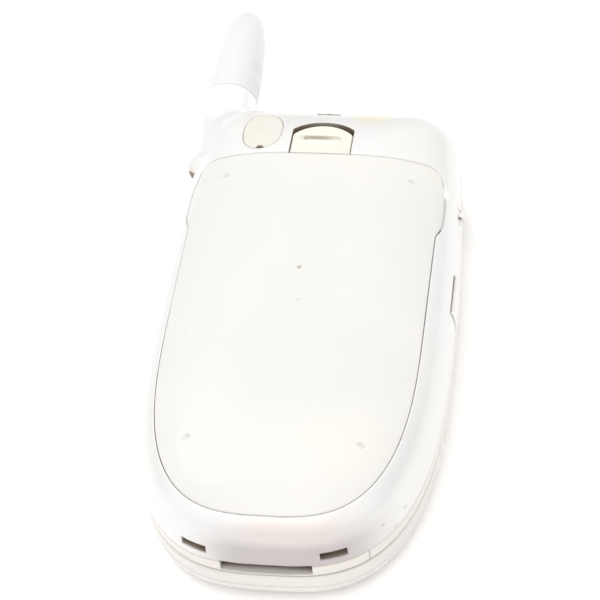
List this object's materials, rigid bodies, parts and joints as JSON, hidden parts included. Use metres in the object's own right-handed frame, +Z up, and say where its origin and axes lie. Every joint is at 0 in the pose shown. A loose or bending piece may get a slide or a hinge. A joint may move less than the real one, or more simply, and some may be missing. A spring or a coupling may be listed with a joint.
{
  "type": "flip phone",
  "caption": "Clamshell phone with a stub antenna: hinged display lid, keypad body, removable back battery, battery catch, side keys and socket covers.",
  "frame": {"origin": "centre of the lid's flat outer face, on which the closed phone lies", "axes": "+Z up out of the back of the phone, +Y along the phone towards the hinge and the antenna, +X to the right seen from above"},
  "size_m": [0.047, 0.1138, 0.021],
  "materials": {
    "battery_pearl": "satin pearl-white lacquer with fine scuffs",
    "rear_silver": "pearl silver lacquer",
    "front_cream": "satin warm-white moulding",
    "lid_pearl": "gloss pearl-white lacquer",
    "bezel_silver": "silver lacquer",
    "clear_stub": "milky translucent moulding",
    "side_silver": "silver lacquer",
    "latch_cream": "satin moulding",
    "plug_rubber": "matte rubber",
    "bumper_rubber": "matte rubber",
    "window_dark": "dark printed acrylic",
    "display_dark": "switched-off display",
    "frame_steel": "bare steel",
    "flex_amber": "amber film",
    "board_green": "solder mask",
    "sheet_rubber": "translucent rubber",
    "module_black": "matte black",
    "contact_gold": "gold flash",
    "coil_copper": "copper wire",
    "cell_wrap": "film wrap",
    "key_silver": "silver-grey key caps"
  },
  "bodies": {
    "lid": {"lid_cover": "lid_pearl", "lid_bezel": "bezel_silver", "outer_lens": "window_dark", "outer_display": "display_dark", "display_frame": "frame_steel", "inner_display": "display_dark", "inner_lens": "window_dark", "earpiece": "module_black", "lid_magnet": "frame_steel", "lid_bumpers": "bumper_rubber", "lid_screws": "frame_steel", "hinge_case": "frame_steel", "hinge_spring": "frame_steel", "flex_cable": "flex_amber"},
    "main_body": {"hinge_shaft": "frame_steel", "hinge_pin": "frame_steel", "flex_tail": "flex_amber", "front_housing": "front_cream", "rear_housing": "rear_silver", "keypad_sheet": "sheet_rubber", "circuit_board": "board_green", "shield_can": "frame_steel", "loudspeaker": "module_black", "vibration_motor": "frame_steel", "backup_cell": "frame_steel", "sim_holder": "frame_steel", "battery_contacts": "contact_gold", "interface_connector": "module_black", "headset_jack": "module_black", "side_switch": "module_black", "microphone": "module_black", "rf_connector": "contact_gold", "latch_spring": "frame_steel", "antenna_cover": "clear_stub", "antenna_coil": "coil_copper", "antenna_ferrule": "contact_gold", "body_screws": "frame_steel"},
    "battery": {"battery_cover": "battery_pearl", "battery_cell": "cell_wrap", "battery_terminals": "contact_gold"},
    "latch": {"battery_latch": "latch_cream"},
    "socket_plug": {"antenna_socket_plug": "plug_rubber"},
    "headset_flap": {"headset_cover": "side_silver"},
    "volume_rocker": {"volume_key": "side_silver"},
    "nav_ring": {"key_nav": "key_silver"},
    "key_1_cap": {"key_1": "key_silver"},
    "key_2_cap": {"key_2": "key_silver"},
    "key_3_cap": {"key_3": "key_silver"},
    "key_4_cap": {"key_4": "key_silver"},
    "key_5_cap": {"key_5": "key_silver"},
    "key_6_cap": {"key_6": "key_silver"},
    "key_7_cap": {"key_7": "key_silver"},
    "key_8_cap": {"key_8": "key_silver"},
    "key_9_cap": {"key_9": "key_silver"},
    "key_star_cap": {"key_star": "key_silver"},
    "key_0_cap": {"key_0": "key_silver"},
    "key_hash_cap": {"key_hash": "key_silver"},
    "key_left_cap": {"key_left": "key_silver"},
    "key_right_cap": {"key_right": "key_silver"},
    "key_ok_cap": {"key_ok": "key_silver"}
  },
  "joints": [
    {"name": "battery_latch_slide", "type": "slide", "parent": "main_body", "child": "latch", "axis": [0, 1, 0], "range_m": [0, 0.001], "stiffness_N_per_m": 300, "springref_m": -0.001, "deforming": ["latch_spring"]},
    {"name": "battery_tilt", "type": "hinge", "parent": "main_body", "child": "battery", "pos_m": [0, -0.03945, 0.0173], "axis": [1, 0, 0], "range_deg": [0, 35]},
    {"name": "edge_volume_rock", "type": "hinge", "parent": "main_body", "child": "volume_rocker", "pos_m": [0.0215, 0.0062, 0.012], "axis": [0, 0, 1], "range_deg": [-3, 3], "stiffness_Nm_per_rad": 0.02},
    {"name": "external_socket_plug_pull", "type": "slide", "parent": "main_body", "child": "socket_plug", "axis": [0, 0, 1], "range_m": [0, 0.003]},
    {"name": "flip_hinge", "type": "hinge", "parent": "lid", "child": "main_body", "pos_m": [0, 0.038, 0.0064], "axis": [-1, 0, 0], "range_deg": [0, 150]},
    {"name": "headset_cover_swing", "type": "hinge", "parent": "main_body", "child": "headset_flap", "pos_m": [0.02278, 0.0197, 0.0119], "axis": [0, 0, -1], "range_deg": [0, 110], "stiffness_Nm_per_rad": 0.0005},
    {"name": "key_1_press", "type": "slide", "parent": "main_body", "child": "key_1_cap", "axis": [0, 0, 1], "range_m": [0, 0.00035], "stiffness_N_per_m": 400, "springref_m": -0.0004},
    {"name": "key_2_press", "type": "slide", "parent": "main_body", "child": "key_2_cap", "axis": [0, 0, 1], "range_m": [0, 0.00035], "stiffness_N_per_m": 400, "springref_m": -0.0004},
    {"name": "key_3_press", "type": "slide", "parent": "main_body", "child": "key_3_cap", "axis": [0, 0, 1], "range_m": [0, 0.00035], "stiffness_N_per_m": 400, "springref_m": -0.0004},
    {"name": "key_4_press", "type": "slide", "parent": "main_body", "child": "key_4_cap", "axis": [0, 0, 1], "range_m": [0, 0.00035], "stiffness_N_per_m": 400, "springref_m": -0.0004},
    {"name": "key_5_press", "type": "slide", "parent": "main_body", "child": "key_5_cap", "axis": [0, 0, 1], "range_m": [0, 0.00035], "stiffness_N_per_m": 400, "springref_m": -0.0004},
    {"name": "key_6_press", "type": "slide", "parent": "main_body", "child": "key_6_cap", "axis": [0, 0, 1], "range_m": [0, 0.00035], "stiffness_N_per_m": 400, "springref_m": -0.0004},
    {"name": "key_7_press", "type": "slide", "parent": "main_body", "child": "key_7_cap", "axis": [0, 0, 1], "range_m": [0, 0.00035], "stiffness_N_per_m": 400, "springref_m": -0.0004},
    {"name": "key_8_press", "type": "slide", "parent": "main_body", "child": "key_8_cap", "axis": [0, 0, 1], "range_m": [0, 0.00035], "stiffness_N_per_m": 400, "springref_m": -0.0004},
    {"name": "key_9_press", "type": "slide", "parent": "main_body", "child": "key_9_cap", "axis": [0, 0, 1], "range_m": [0, 0.00035], "stiffness_N_per_m": 400, "springref_m": -0.0004},
    {"name": "key_star_press", "type": "slide", "parent": "main_body", "child": "key_star_cap", "axis": [0, 0, 1], "range_m": [0, 0.00035], "stiffness_N_per_m": 400, "springref_m": -0.0004},
    {"name": "key_0_press", "type": "slide", "parent": "main_body", "child": "key_0_cap", "axis": [0, 0, 1], "range_m": [0, 0.00035], "stiffness_N_per_m": 400, "springref_m": -0.0004},
    {"name": "key_hash_press", "type": "slide", "parent": "main_body", "child": "key_hash_cap", "axis": [0, 0, 1], "range_m": [0, 0.00035], "stiffness_N_per_m": 400, "springref_m": -0.0004},
    {"name": "key_left_press", "type": "slide", "parent": "main_body", "child": "key_left_cap", "axis": [0, 0, 1], "range_m": [0, 0.00035], "stiffness_N_per_m": 400, "springref_m": -0.0004},
    {"name": "key_right_press", "type": "slide", "parent": "main_body", "child": "key_right_cap", "axis": [0, 0, 1], "range_m": [0, 0.00035], "stiffness_N_per_m": 400, "springref_m": -0.0004},
    {"name": "key_ok_press", "type": "slide", "parent": "main_body", "child": "key_ok_cap", "axis": [0, 0, 1], "range_m": [0, 0.00035], "stiffness_N_per_m": 400, "springref_m": -0.0004},
    {"name": "key_nav_rock", "type": "hinge", "parent": "main_body", "child": "nav_ring", "pos_m": [0, 0.0145, 0.0074], "axis": [1, 0, 0], "range_deg": [-2, 2], "stiffness_Nm_per_rad": 0.05}
  ]
}
